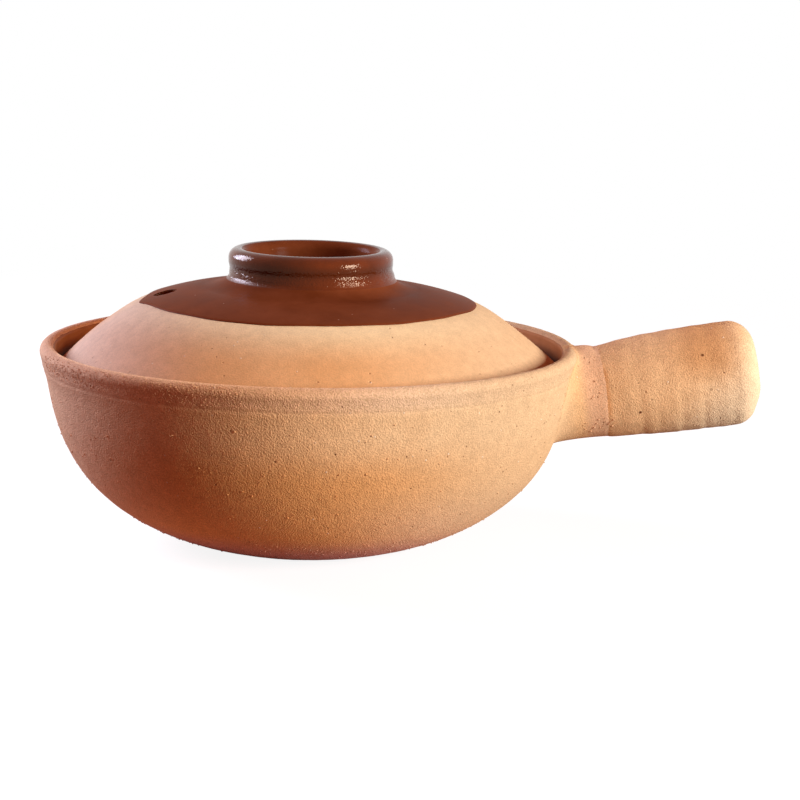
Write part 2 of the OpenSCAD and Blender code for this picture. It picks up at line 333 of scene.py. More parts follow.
def skin(name, grid, material, around=True, ring=False):
    """A mesh over a grid of points in millimetres: around closes each row, and ring joins the last row to
    the first."""
    rows, columns, _ = grid.shape
    index = np.arange(rows * columns).reshape(rows, columns)
    low, high = (index, np.roll(index, -1, 0)) if ring else (index[:-1], index[1:])
    last = columns if around else columns - 1
    quads = np.stack([low, np.roll(low, -1, 1), np.roll(high, -1, 1), high], -1)
    faces = quads[:, :last].reshape(-1, 4)
    mesh = bpy.data.meshes.new(name)
    mesh.from_pydata((grid.reshape(-1, 3) * MM).tolist(), [], faces.tolist())
    mesh.materials.append(material)
    close_up(mesh)
    return linked(name, mesh)


def start_tree(name, inputs, output):
    """A new node tree with these named inputs and one output, and what its inputs give."""
    tree = bpy.data.node_groups.new(name, "GeometryNodeTree")
    for socket, kind in inputs.items():
        tree.interface.new_socket(socket, in_out="INPUT", socket_type="NodeSocket" + kind)
    tree.interface.new_socket(output, in_out="OUTPUT", socket_type="NodeSocketGeometry")
    return tree, add(tree, "NodeGroupInput", out=None).outputs


def end_tree(tree, shape, material):
    """Ends a node tree with plain faces in one finish."""
    real = add(tree, "GeometryNodeRealizeInstances", {"Geometry": shape})
    painted = add(tree, "GeometryNodeSetMaterial", {"Geometry": real, "Material": material})
    add(tree, "NodeGroupOutput", {0: painted}, out=None)
    return tree


def wheel_tree():
    """Spins an outline about Z as the wheel does, and leaves the wander of the hand in the wall.
    Wander is a share of the radius, and lumps press in along the surface, so nothing grows outwards."""
    tree, given = start_tree("thrown_on_the_wheel", {
        "Outline": "Geometry", "Rows": "Int", "Columns": "Int", "Wander": "Float", "Wander size": "Float",
        "Lumps": "Float", "Lump size": "Float", "Seed": "Float", "Material": "Material"}, "Piece")

    index = add(tree, "GeometryNodeInputIndex")
    row = add(tree, "ShaderNodeMath", {0: index, 1: given["Rows"]}, operation="MODULO")
    turns = add(tree, "ShaderNodeMath", {0: index, 1: given["Rows"]}, operation="DIVIDE")
    column = add(tree, "ShaderNodeMath", {0: turns}, operation="FLOOR")
    share = add(tree, "ShaderNodeMath", {0: column, 1: given["Columns"]}, operation="DIVIDE")
    angle = add(tree, "ShaderNodeMath", {0: share, 1: 2 * math.pi}, operation="MULTIPLY")
    place = add(tree, "GeometryNodeInputPosition")
    on_line = add(tree, "GeometryNodeSampleIndex",
                  {"Geometry": given["Outline"], "Value": place, "Index": row}, data_type="FLOAT_VECTOR")
    spun = add(tree, "ShaderNodeVectorRotate", {"Vector": on_line, "Angle": angle},
               rotation_type="Z_AXIS")

    columns = add(tree, "ShaderNodeMath", {0: given["Columns"], 1: 1.0}, operation="ADD")
    sheet = add(tree, "GeometryNodeMeshGrid", {"Vertices X": columns, "Vertices Y": given["Rows"]})
    wandering = add(tree, "ShaderNodeMath", {0: 1.0, 1: given["Wander size"]}, operation="DIVIDE")
    wander = add(tree, "ShaderNodeTexNoise",
                 {"Vector": spun, "W": given["Seed"], "Scale": wandering, "Detail": 1.0},
                 noise_dimensions="4D")
    pull = add(tree, "ShaderNodeMath", {0: wander, 1: given["Wander"]}, operation="MULTIPLY")
    shrink = add(tree, "ShaderNodeMath", {0: 1.0, 1: pull}, operation="SUBTRACT")
    scale = add(tree, "ShaderNodeCombineXYZ", {0: shrink, 1: shrink, 2: 1.0})
    drawn = add(tree, "ShaderNodeVectorMath", {0: spun, 1: scale}, operation="MULTIPLY")
    wall = add(tree, "GeometryNodeSetPosition", {"Geometry": sheet, "Position": drawn})
    closed = add(tree, "GeometryNodeMergeByDistance", {"Geometry": wall, "Distance": 1e-6})

    lumping = add(tree, "ShaderNodeMath", {0: 1.0, 1: given["Lump size"]}, operation="DIVIDE")
    lumps = add(tree, "ShaderNodeTexNoise",
                {"Vector": place, "W": given["Seed"], "Scale": lumping, "Detail": 2.0},
                noise_dimensions="4D")
    press = add(tree, "ShaderNodeMath", {0: lumps, 1: given["Lumps"]}, operation="MULTIPLY")
    inward = add(tree, "ShaderNodeMath", {0: press, 1: -1.0}, operation="MULTIPLY")
    normal = add(tree, "GeometryNodeInputNormal")
    dent = add(tree, "ShaderNodeVectorMath", {0: normal, "Scale": inward}, operation="SCALE")
    dented = add(tree, "GeometryNodeSetPosition", {"Geometry": closed, "Offset": dent})
    even = add(tree, "GeometryNodeSetShadeSmooth", {"Geometry": dented})
    return end_tree(tree, even, given["Material"])


def grain_tree():
    """Sets grains of grog in a surface, each sunk by about half, at random places, turns and sizes."""
    tree, given = start_tree("grog_in_the_surface", {
        "Surface": "Geometry", "Grains per square metre": "Float", "Smallest": "Float", "Largest": "Float",
        "Seed": "Int", "Material": "Material"}, "Grains")

    density, seed = given["Grains per square metre"], given["Seed"]
    spots = add(tree, "GeometryNodeDistributePointsOnFaces",
                {"Mesh": given["Surface"], "Density": density, "Seed": seed}, out=None).outputs
    grain = add(tree, "GeometryNodeMeshIcoSphere", {"Radius": 0.5, "Subdivisions": 1})
    spread = add(tree, "FunctionNodeRandomValue",
                 {"Min": (0.6, 0.6, 0.45), "Max": (1.0, 1.0, 0.8), "Seed": seed}, data_type="FLOAT_VECTOR")
    size = add(tree, "FunctionNodeRandomValue",
               {2: given["Smallest"], 3: given["Largest"], "Seed": seed}, out=1, data_type="FLOAT")
    scale = add(tree, "ShaderNodeVectorMath", {0: spread, "Scale": size}, operation="SCALE")
    turn = add(tree, "FunctionNodeRandomValue",
               {"Min": (0, 0, 0), "Max": (0, 0, 2 * math.pi), "Seed": seed}, data_type="FLOAT_VECTOR")
    twist = add(tree, "FunctionNodeEulerToRotation", {0: turn})
    facing = add(tree, "FunctionNodeRotateRotation", {0: spots["Rotation"], 1: twist},
                 rotation_space="LOCAL")
    set_in = add(tree, "GeometryNodeInstanceOnPoints",
                 {"Points": spots["Points"], "Instance": grain, "Rotation": facing, "Scale": scale})
    return end_tree(tree, set_in, given["Material"])


WHEEL = wheel_tree()
GRAINS = grain_tree()


def run_tree(piece, tree, values):
    """Runs a node tree on a piece with its inputs set by name, and settles the result, without the empty
    slot that a node's own shapes bring."""
    modifier = piece.modifiers.new(tree.name, "NODES")
    modifier.node_group = tree
    for socket in tree.interface.items_tree:
        if socket.in_out == "INPUT" and socket.name in values:
            modifier[socket.identifier] = values[socket.name]
    settle(piece)
    if piece.data.materials[0] is None:
        piece.data.materials.pop(index=0)
    piece.data.polygons.foreach_set("material_index", [0] * len(piece.data.polygons))
    return piece


def thrown(name, outline, material, columns, wander=0.0, lumps=0.0, lump_size=7.0, seed=1.0):
    """A piece thrown to this outline in millimetres. Wander and lumps are in millimetres too, and the
    wander goes in and out about every 70 mm."""
    mesh = bpy.data.meshes.new(name)
    edges = [(i, i + 1) for i in range(len(outline) - 1)]
    mesh.from_pydata([(r * MM, 0, z * MM) for r, z in outline], edges, [])
    piece = run_tree(linked(name, mesh), WHEEL, {
        "Rows": len(outline), "Columns": columns, "Wander": wander / outline[:, 0].max(),
        "Wander size": 70 * MM, "Lumps": lumps * MM, "Lump size": lump_size * MM, "Seed": seed,
        "Material": material})
    close_up(piece.data)
    return piece


def grog(name, surface, material, per_square_cm, smallest, largest, seed):
    """Grains of grog in a surface, which is used up."""
    surface.name = name
    return run_tree(surface, GRAINS, {
        "Grains per square metre": per_square_cm * 1e4, "Smallest": smallest * MM, "Largest": largest * MM,
        "Seed": seed, "Material": material})


# Finishes

def linear(code):
    """Linear colour from an sRGB hex code."""
    parts = [int(code[i:i + 2], 16) / 255 for i in (1, 3, 5)]
    return tuple(c / 12.92 if c <= 0.04045 else ((c + 0.055) / 1.055) ** 2.4 for c in parts) + (1.0,)


def per_size(millimetres):
    """Scale of a pattern whose features are this wide."""
    return 1 / (millimetres * MM)


def finish(name):
    """A new material with its tree, its Object coordinates and its shader."""
    material = bpy.data.materials.new(name)
    material.use_nodes = True
    tree = material.node_tree
    tree.nodes.clear()
    place = add(tree, "ShaderNodeTexCoord", out="Object")
    shader = add(tree, "ShaderNodeBsdfPrincipled", out=None)
    add(tree, "ShaderNodeOutputMaterial", {"Surface": shader.outputs[0]}, out=None)
    return material, tree, place, shader


def way_share(tree, place, way, low, high):
    """Share that eases from 0 at one distance along a direction to 1 at another, in millimetres."""
    along = add(tree, "ShaderNodeVectorMath", {0: place, 1: way}, operation="DOT_PRODUCT", out=1)
    return add(tree, "ShaderNodeMapRange", {0: along, 1: low * MM, 2: high * MM, 3: 0.0, 4: 1.0},
               interpolation_type="SMOOTHSTEP")


def height_share(tree, place, low, high):
    """Share from 0 at one height to 1 at another."""
    return way_share(tree, place, (0, 0, 1), low, high)


def side_share(tree, place, low, high):
    """Share from 0 at one distance from the pot's axis towards the handle to 1 at another."""
    return way_share(tree, place, (1, 0, 0), low, high)


def handle_share(tree, place, low, high):
    """Share from 0 at one distance from the bowl's wall along the handle to 1 at another."""
    start = HANDLE_ROOT.dot(HANDLE_AXIS)
    return way_share(tree, place, HANDLE_AXIS, start + low, start + high)


def washed(tree, colour, code, strength, *shares):
    """A colour turned towards an sRGB hex code where all the shares overlap, by this strength at most."""
    reach = strength
    for share in shares:
        reach = add(tree, "ShaderNodeMath", {0: share, 1: reach}, operation="MULTIPLY")
    return add(tree, "ShaderNodeMix", {0: reach, 6: colour, 7: linear(code)}, data_type="RGBA", out=2)


def bowl_zones(tree, place, colour, mottle, grit):
    """A grey-pink frost lies on the rim band. The wall is painted more orange away from the handle, a painted
    shade of the side turned from the key lamp, and it is more orange lower down, and the foot came out
    redder, under a pale haze on the handle's side. That side is painted duller, a painted shade where the key
    lamp falls brightest, and the far side is painted pinker, a painted light from the side lamp."""
    frost = add(tree, "ShaderNodeMapRange", {0: grit, 1: 0.4, 2: 0.6, 3: 0.3, 4: 0.8})
    colour = washed(tree, colour, "#f4d2b0", 1.0, height_share(tree, place, 66, 71), frost)
    # painted shade: more orange on the side turned away from the key lamp
    colour = washed(tree, colour, "#ecae6c", 0.5, side_share(tree, place, 50, -15))
    colour = washed(tree, colour, "#e6a560", 0.8, height_share(tree, place, 60, 40))
    colour = washed(tree, colour, "#ecc8a8", 0.6, height_share(tree, place, 42, 16),
                    side_share(tree, place, 5, 60))
    colour = washed(tree, colour, "#cc9c94", 1.0, height_share(tree, place, 18, 3))
    # painted shade: duller on the handle's side, where the key lamp falls brightest
    colour = washed(tree, colour, "#d4b288", 0.85, side_share(tree, place, 15, 80))
    # painted light: paler and pinker on the far side, where the side lamp falls
    return washed(tree, colour, "#f8d2b0", 0.7, side_share(tree, place, -35, -88))


def lid_zones(tree, place, colour, mottle, grit):
    """A cream halo lies on the clay beside the glaze. The handle's side is painted duller, a painted shade
    where the key lamp falls brightest, and the other side is painted paler towards the front, a painted light
    from the side lamp."""
    flat = add(tree, "ShaderNodeVectorMath", {0: place, 1: (1, 1, 0)}, operation="MULTIPLY")
    radius = add(tree, "ShaderNodeVectorMath", {0: flat}, operation="LENGTH", out=1)
    halo = add(tree, "ShaderNodeMapRange", {0: radius, 1: 66 * MM, 2: 84 * MM, 3: 1.0, 4: 0.0},
               interpolation_type="SMOOTHSTEP")
    colour = washed(tree, colour, "#fae2b2", 0.95, halo)
    # painted shade: duller on the handle's side, where the key lamp falls brightest
    colour = washed(tree, colour, "#dcbb92", 0.8, side_share(tree, place, 10, 80))
    # painted light from the side lamp: paler on the far side towards the front
    front = way_share(tree, place, (0, -1, 0), -20, 20)
    return washed(tree, colour, "#f0dcc6", 0.75, side_share(tree, place, -28, -88), front)


def collar_zones(tree, place, colour, mottle, grit):
    """The smeared clay of the collar dried to a pinker skin at the seam, and has the bowl's colour at its
    foot."""
    colour = washed(tree, colour, "#dab68a", 0.8, handle_share(tree, place, 5, -4))
    return washed(tree, colour, "#e4b890", 1.0, handle_share(tree, place, 3, 9))


def handle_zones(tree, place, colour, mottle, grit):
    """The open end of the handle is cream, most of all underneath, partly the clay's fired colour and partly
    painted light where the key lamp strikes the end, while the top near the end stayed raw and orange, and a
    strip beside the collar is painted darker orange, a painted shade beside the collar's edge. A few pits on
    its side are painted dark, as painted shade."""
    cut = add(tree, "ShaderNodeSeparateXYZ", {0: place}, out=None).outputs
    # partly painted light: cream where the key lamp strikes the open end, partly the clay's own fired colour
    low = add(tree, "ShaderNodeMath", {0: cut[2], 1: -0.7, 2: cut[0]}, operation="MULTIPLY_ADD")
    stray = add(tree, "ShaderNodeMath", {0: mottle, 1: 12 * MM, 2: low}, operation="MULTIPLY_ADD")
    cream = add(tree, "ShaderNodeMapRange", {0: stray, 1: 104 * MM, 2: 134 * MM, 3: 0.0, 4: 1.0},
                interpolation_type="SMOOTHSTEP")
    colour = washed(tree, colour, "#ecd2ac", 0.9, cream)
    colour = washed(tree, colour, "#d49a62", 0.7, handle_share(tree, place, 36, 52),
                    handle_share(tree, place, 70, 58), height_share(tree, place, 64, 78))
    # painted shade: a darker orange strip beside the collar's edge
    colour = washed(tree, colour, "#d9965a", 0.6, handle_share(tree, place, 12, 13.6),
                    handle_share(tree, place, 17, 14.5), height_share(tree, place, 50, 56),
                    height_share(tree, place, 74, 69))
    # painted shade: each pit is only a dark spot in the colour, without a dent
    for along, degrees, radius, strength in PITS:
        turn = math.radians(degrees)
        spot = HANDLE_FRAME @ Vector((radius * math.cos(turn), radius * math.sin(turn), along))
        away = add(tree, "ShaderNodeVectorMath", {0: place, 1: spot * MM}, operation="DISTANCE", out=1)
        pit = add(tree, "ShaderNodeMapRange", {0: away, 1: 0.4 * MM, 2: 0.75 * MM, 3: 1.0, 4: 0.0})
        colour = washed(tree, colour, "#6b3d24", strength, pit)
    return colour


# Sizes of what lies in the clay and the glaze, in millimetres, the colour of the painted shade in pits and
# the colour of grains
CLOUD_SIZE, MOTTLE_SIZE, PIT_SPACING, GRAIN_SPACING = 30, 4, 5.5, 6.5
PIT_DEPTH, GRAIN_HEIGHT = 0.3, 0.2
PIT_SHADE_COLOUR, GRAIN_COLOUR = "#8a5436", "#f6e8d0"
STREAK_SIZE, PINHOLE_SPACING, PINHOLE_DEPTH, PEEL_SIZE = 16, 6.5, 0.1, 0.6
# the pool colour darkens a band of glaze: partly pooled glaze, partly painted shade
PINHOLE_COLOUR, POOL_AND_SHADE_COLOUR = "#c99f84", "#3a1606"


def earthenware(name, body, dark, sand, relief, zones, pits=0.5, speckle=1.0, seed=0.0):
    """Unglazed earthenware full of sand, fired in an open flame: matt, a little uneven in colour, with a
    dense sandy relief, a few open pits darkened with painted shade and a few pale grains. The size of the
    sand and its relief are in millimetres, and the sand is drawn a little coarser than it is, so that it
    shows. zones adds what only one piece has, and gives back the colour."""
    material, tree, place, shader = finish(name)
    here = add(tree, "ShaderNodeMapping", {"Vector": place, "Location": (seed, seed, seed)})
    cloud = add(tree, "ShaderNodeTexNoise",
                {"Vector": here, "Scale": per_size(CLOUD_SIZE), "Detail": 3.0, "Roughness": 0.55})
    mottle = add(tree, "ShaderNodeTexNoise",
                 {"Vector": here, "Scale": per_size(MOTTLE_SIZE), "Detail": 2.0, "Roughness": 0.6})
    grit = add(tree, "ShaderNodeTexNoise",
               {"Vector": here, "Scale": per_size(sand), "Detail": 1.0, "Roughness": 0.6})
    pit = add(tree, "ShaderNodeTexVoronoi", {"Vector": here, "Scale": per_size(PIT_SPACING)}, out="Distance")
    far = add(tree, "ShaderNodeMapping", {"Vector": here, "Location": (0.31, 0.17, 0.23)})
    grain = add(tree, "ShaderNodeTexVoronoi",
                {"Vector": far, "Scale": per_size(GRAIN_SPACING)}, out="Distance")

    clouded = add(tree, "ShaderNodeMapRange", {0: cloud, 1: 0.34, 2: 0.66, 3: 0.0, 4: 1.0})
    colour = add(tree, "ShaderNodeMix", {0: clouded, 6: linear(dark), 7: linear(body)},
                 data_type="RGBA", out=2)
    colour = zones(tree, place, colour, mottle, grit)
    for noise, low, high in ((mottle, 0.94, 1.06), (grit, 1 - 0.16 * speckle, 1 + 0.12 * speckle)):
        level = add(tree, "ShaderNodeMapRange", {0: noise, 1: 0.3, 2: 0.7, 3: low, 4: high})
        colour = add(tree, "ShaderNodeMix", {0: 1.0, 6: colour, 7: level}, data_type="RGBA",
                     blend_type="MULTIPLY", out=2)
    open_pit = add(tree, "ShaderNodeMapRange", {0: pit, 1: 0.04, 2: 0.09, 3: 1.0, 4: 0.0})
    # painted shade: the open pits are darkened
    colour = washed(tree, colour, PIT_SHADE_COLOUR, pits, open_pit)
    set_grain = add(tree, "ShaderNodeMapRange", {0: grain, 1: 0.03, 2: 0.07, 3: 0.6, 4: 0.0})
    colour = washed(tree, colour, GRAIN_COLOUR, 1.0, set_grain)
    tree.links.new(colour, shader.inputs["Base Color"])

    height = add(tree, "ShaderNodeMath", {0: mottle, 1: 0.55 * relief}, operation="MULTIPLY")
    for noise, rise in ((grit, relief), (set_grain, GRAIN_HEIGHT), (open_pit, -PIT_DEPTH)):
        height = add(tree, "ShaderNodeMath", {0: noise, 1: rise, 2: height}, operation="MULTIPLY_ADD")
    bump = add(tree, "ShaderNodeBump", {"Height": height, "Distance": MM, "Strength": 1.0})
    tree.links.new(bump, shader.inputs["Normal"])
    shader.inputs["Roughness"].default_value = 0.9
    shader.inputs["Specular IOR Level"].default_value = 0.0
    shader.inputs["Diffuse Roughness"].default_value = 0.3
    return material


def brown_glaze(name, thin, thick, shine, rough, pool_and_shade=None, stipple=0.0, lustre="#ffffff"):
    """Brown iron glaze, dipped and fired: streaked where it ran thin, darker in a band that is partly pooled
    glaze and partly painted shade, with an orange-peel skin that stands out most on the knob, and a few pale
    pinholes. Shine is 0.5 for a full glass, and lustre is the colour of its reflections, warm where iron came
    up. The band is given by the height of its middle, the height over which it fades and its strength.
    Heights and stipple are in millimetres."""
    material, tree, place, shader = finish(name)
    streak = add(tree, "ShaderNodeTexNoise",
                 {"Vector": place, "Scale": per_size(STREAK_SIZE), "Detail": 4.0, "Roughness": 0.6})
    spread = add(tree, "ShaderNodeMapRange", {0: streak, 1: 0.35, 2: 0.65, 3: 0.0, 4: 1.0})
    colour = add(tree, "ShaderNodeMix", {0: spread, 6: linear(thick), 7: linear(thin)},
                 data_type="RGBA", out=2)
    hole = add(tree, "ShaderNodeTexVoronoi",
               {"Vector": place, "Scale": per_size(PINHOLE_SPACING)}, out="Distance")
    pin = add(tree, "ShaderNodeMapRange", {0: hole, 1: 0.03, 2: 0.05, 3: 0.6, 4: 0.0})
    colour = washed(tree, colour, PINHOLE_COLOUR, 1.0, pin)
    # a darker band: partly pooled glaze, partly painted shade
    if pool_and_shade:
        middle, fade, strength = pool_and_shade
        colour = washed(tree, colour, POOL_AND_SHADE_COLOUR, strength, height_share(tree, place, middle - fade, middle),
                        height_share(tree, place, middle + fade, middle))
    tree.links.new(colour, shader.inputs["Base Color"])

    worn = add(tree, "ShaderNodeMapRange", {0: streak, 1: 0.3, 2: 0.7, 3: rough * 0.8, 4: rough * 1.2})
    satin = height_share(tree, place, CROWN_Z + 5.5, CROWN_Z + 3.5)
    matter = add(tree, "ShaderNodeMath", {0: satin, 1: 0.22, 2: worn}, operation="MULTIPLY_ADD")
    tree.links.new(matter, shader.inputs["Roughness"])
    peel = add(tree, "ShaderNodeTexNoise", {"Vector": place, "Scale": per_size(PEEL_SIZE), "Detail": 0.0})
    above = height_share(tree, place, CROWN_Z + 3, CROWN_Z + 5)
    below = height_share(tree, place, CROWN_Z + 10.5, CROWN_Z + 8.5)
    band = add(tree, "ShaderNodeMath", {0: above, 1: below}, operation="MULTIPLY")
    rise = add(tree, "ShaderNodeMapRange", {0: band, 1: 0.0, 2: 1.0, 3: 0.4 * stipple, 4: stipple})
    deep = add(tree, "ShaderNodeMath", {0: peel, 1: rise}, operation="MULTIPLY")
    height = add(tree, "ShaderNodeMath", {0: pin, 1: -PINHOLE_DEPTH, 2: deep}, operation="MULTIPLY_ADD")
    bump = add(tree, "ShaderNodeBump", {"Height": height, "Distance": MM, "Strength": 1.0})
    tree.links.new(bump, shader.inputs["Normal"])
    shader.inputs["Specular IOR Level"].default_value = shine
    shader.inputs["Specular Tint"].default_value = linear(lustre)
    return material


BOWL_CLAY = earthenware("coarse_earthenware_bowl", "#f2d0a0", "#ecc492", sand=0.6, relief=0.33,
                        zones=bowl_zones)
HANDLE_CLAY = earthenware("coarse_earthenware_handle", "#eec492", "#e6ba88", sand=0.55, relief=0.3,
                          zones=handle_zones, pits=0.3)
COLLAR_CLAY = earthenware("smeared_earthenware_collar", "#e8be8a", "#e2b480", sand=0.55, relief=0.26,
                          zones=collar_zones, pits=0.3)
LID_CLAY = earthenware("fine_earthenware_lid", "#eebc84", "#e9b379", sand=0.6, relief=0.09,
                       zones=lid_zones, pits=0.15, speckle=0.5, seed=1.1)
# The knob's darker band round its groove is partly pooled glaze and partly painted shade under the top roll.
KNOB_GLAZE = brown_glaze("glossy_iron_glaze_knob", "#6c2c0c", "#5a2206", shine=0.22, rough=0.1,
                         pool_and_shade=(CROWN_Z + 9.0, 3.8, 0.6), stipple=0.16, lustre="#ffdcbc")
DOME_GLAZE = brown_glaze("satin_iron_glaze_dome", "#7b3f23", "#6d3418", shine=0.012, rough=0.22, stipple=0.05)
# The inside's darker band at the ledge is painted shade in the gap under the lid.
INSIDE_GLAZE = brown_glaze("satin_iron_glaze_inside", "#b88056", "#a87048", shine=0.012, rough=0.22,
                           pool_and_shade=(LEDGE_Z + 1.5, 5.5, 0.85))


# Pieces of the pot

def swell(piece):
    """The wall swells a little low down on the handle's side, and under the rim on the far side."""
    points = points_of(piece.data)
    height = points[:, 2]
    turn = np.arctan2(points[:, 1], points[:, 0])
    out = LOW_SWELL * bell(height, LOW_SWELL_Z, LOW_SWELL_H) * bell(turn, 0, LOW_SWELL_TURN)
    out += RIM_SWELL * bell(height, RIM_SWELL_Z, RIM_SWELL_H) * np.clip(-np.cos(turn), 0, 1) ** 2
    points[:, :2] *= (1 + out / np.maximum(np.hypot(points[:, 0], points[:, 1]), 1))[:, None]
    move_points(piece.data, points)
    return piece


def bowl():
    """The thrown bowl: flat base, rounded wall, turned line, lip, and the ledge inside."""
    outline = joined(
        line((0, 0), (BASE_R, 0), step=9), wall_outline(), arc(LIP_CENTRE, LIP_R, LIP_START, 180, 28),
        line((RIM_IN_R, LIP_CENTRE[1]), (RIM_IN_R, LEDGE_Z)), inside_outline(0)[::-1])
    return swell(thrown("bowl_clay", outline, BOWL_CLAY, 560, wander=BOWL_WANDER, lumps=0.22, lump_size=6,
                        seed=BOWL_SEED))


def bowl_lining():
    """The glaze inside the bowl, over the ledge and up to the edge of the lip, where it thins out."""
    share = np.linspace(0, 1, 17)
    turn = np.radians(LINING_END + (180 - LINING_END) * share)
    coat = LIP_R + JOINT_GAP + GLAZE_T * smooth(share / 0.6)
    thinned = LIP_CENTRE + coat[:, None] * np.stack([np.cos(turn), np.sin(turn)], 1)
    up = joined(inside_outline(JOINT_GAP), arc(LIP_CENTRE, LIP_R + JOINT_GAP, 180, LINING_END, 8))
    down = joined(thinned, inside_outline(COAT)[::-1])
    return thrown("bowl_lining_glaze", joined(up, down), INSIDE_GLAZE, 240)


def along_handle(points):
    """Points given along the handle's own axis, turned into the pot's frame, in millimetres."""
    turn = np.array(HANDLE_FRAME)
    return (points.reshape(-1, 3) @ turn[:3, :3].T + turn[:3, 3]).reshape(points.shape)


def wall_reach(x, y, sink=0.0):
    """Distance along the handle's axis at which a line beside it enters the bowl's wall by sink."""
    low, high = np.full(x.shape, -25.0), np.full(x.shape, COLLAR_LEN)
    for _ in range(30):
        mid = (low + high) / 2
        at = along_handle(np.stack([x, y, mid], -1))
        wall = np.interp(at[..., 2], WALL[:, 1], WALL[:, 0], right=0) - sink
        outside = np.hypot(at[..., 0], at[..., 1]) > wall
        low, high = np.where(outside, low, mid), np.where(outside, mid, high)
    return (low + high) / 2


def hand_shaped(points):
    """What the hand left on the handle: a fuller underside beside the collar, a few creases low on its
    side, and an end that is more worn above and below."""
    down = points[:, 0] / np.maximum(np.hypot(points[:, 0], points[:, 1]), 1)
    full = 0.7 * bell(points[:, 2], 15, 6) * np.clip(down, 0, 1) ** 2
    points[:, :2] *= (1 + full / SEAM_R)[:, None]
    creases = sum(depth * bell(points[:, 2], place, CREASE_W) for place, depth in CREASES)
    points[:, :2] *= (1 - creases * smooth((down + 0.45) / 0.9) / TIP_R)[:, None]
    end = smooth((points[:, 2] - 56) / 14)
    lower = points[:, 0] / TIP_R
    worn = 1.5 * smooth((lower - 0.2) / 0.5) + 0.7 * smooth((-lower - 0.6) / 0.4)
    points[:, 2] -= end * worn
    return points


def handle():
    """The hollow handle, thrown as a tube, with its rings and its open round end."""
    root = 4.0
    piece = thrown("handle_clay", handle_outline(root), HANDLE_CLAY, 240, wander=0.3, lumps=0.35, lump_size=6,
                   seed=8.0)
    points = points_of(piece.data)
    inner = points[:, 2] < root + 0.5
    points[inner, 2] = wall_reach(points[inner, 0], points[inner, 1], 0.5)
    move_points(piece.data, along_handle(hand_shaped(points)))
    return piece


def handle_collar():
    """The collar of soft clay pressed round the handle's root and smeared on to the bowl's wall, so that
    its outside runs from the wall into the handle without a corner, and ends on it in a thin ragged skin."""
    columns = 240
    turn = np.linspace(0, 2 * math.pi, columns, endpoint=False)
    across, down = np.sin(turn) ** 2, np.cos(turn)
    below, above = np.clip(down, 0, 1) ** 2, np.clip(-down, 0, 1) ** 3
    spread = SMEAR_SIDE * across + np.where(down > 0, 0.0, SMEAR_TOP) * down**2
    end = COLLAR_LEN + waves(turn, (0.4, 3, 1), (0.3, 7, 2), (0.15, 13, 0))

    def on_wall(radius, lift):
        """A row on the bowl's wall at this distance from the handle's axis."""
        x, y = radius * np.cos(turn), radius * np.sin(turn)
        return np.stack([x, y, wall_reach(x, y) + lift], -1)

    def round_axis(radius, along):
        """A row round the handle's axis."""
        radius, along = np.broadcast_to(radius, turn.shape), np.broadcast_to(along, turn.shape)
        return np.stack([radius * np.cos(turn), radius * np.sin(turn), along], -1)

    foot, lead = on_wall(SEAM_R + spread, 0.0), on_wall(SEAM_R + 0.3 * spread, 0.0)
    skin_r = SEAM_R + 0.4 * below - 0.1 * above
    tip = round_axis(skin_r - 0.12, end)
    hold = round_axis(SEAM_R - 1.0 + 0.3 * below + 2.6 * above, lead[:, 2] + 0.45 * (end - lead[:, 2]))
    rows = [on_wall(SEAM_R + spread + 0.4, -COLLAR_SET)]
    for t in np.linspace(0, 1, 34):
        u = 1 - t
        rows.append(u**3 * foot + 3 * u * u * t * lead + 3 * u * t * t * hold + t**3 * tip)
    rows += [round_axis(skin_r + out, end + on)
             for out, on in ((-0.09, 0.7), (-0.12, 1.6), (-0.32, 3.0), (-0.8, 4.4), (-1.4, 4.2))]
    sleeve_r = SEAM_R - COLLAR_T + JOINT_GAP
    rows += [round_axis(sleeve_r, COLLAR_LEN - 1.5), on_wall(np.full(columns, sleeve_r), -COLLAR_SET)]
    return skin("handle_collar_clay", along_handle(np.array(rows)), COLLAR_CLAY, ring=True)


def crumbs():
    """Crumbs of clay along the collar's seam: a few above, a few on the side and a rough patch below. Each
    patch has its stretch round the handle in radians, its stretch along it and its crumbs per square cm."""
    patches = ((-2.76, -2.48, 11.0, 14.6, 26), (-2.09, -1.55, 8.0, 12.5, 14), (-1.1, -0.72, 4.0, 16.0, 20))
    pieces = []
    for i, (start, end, near, far, share) in enumerate(patches):
        turn, along = np.meshgrid(np.linspace(start, end, 8), np.linspace(near, far, 8))
        radius = SEAM_R + 0.15 * np.maximum(along - COLLAR_LEN, 0)
        grid = np.stack([radius * np.cos(turn), radius * np.sin(turn), along], -1)
        ground = skin("seam", along_handle(grid), COLLAR_CLAY, around=False)
        pieces.append(grog(f"seam_crumbs_{i + 1}", ground, COLLAR_CLAY, share, 0.5, 1.2, 31 + i))
    return pieces


def front_left(mesh):
    """Keeps only the stretch of the rim that faces the front and the left, where the sand stands out."""
    shell = bmesh.new()
    shell.from_mesh(mesh)
    turns = [math.degrees(math.atan2(spot.co.y, spot.co.x)) for spot in shell.verts]
    gone = [spot for spot, turn in zip(shell.verts, turns) if not -160 < turn < -100]
    bmesh.ops.delete(shell, geom=gone, context="VERTS")
    shell.to_mesh(mesh)
    shell.free()


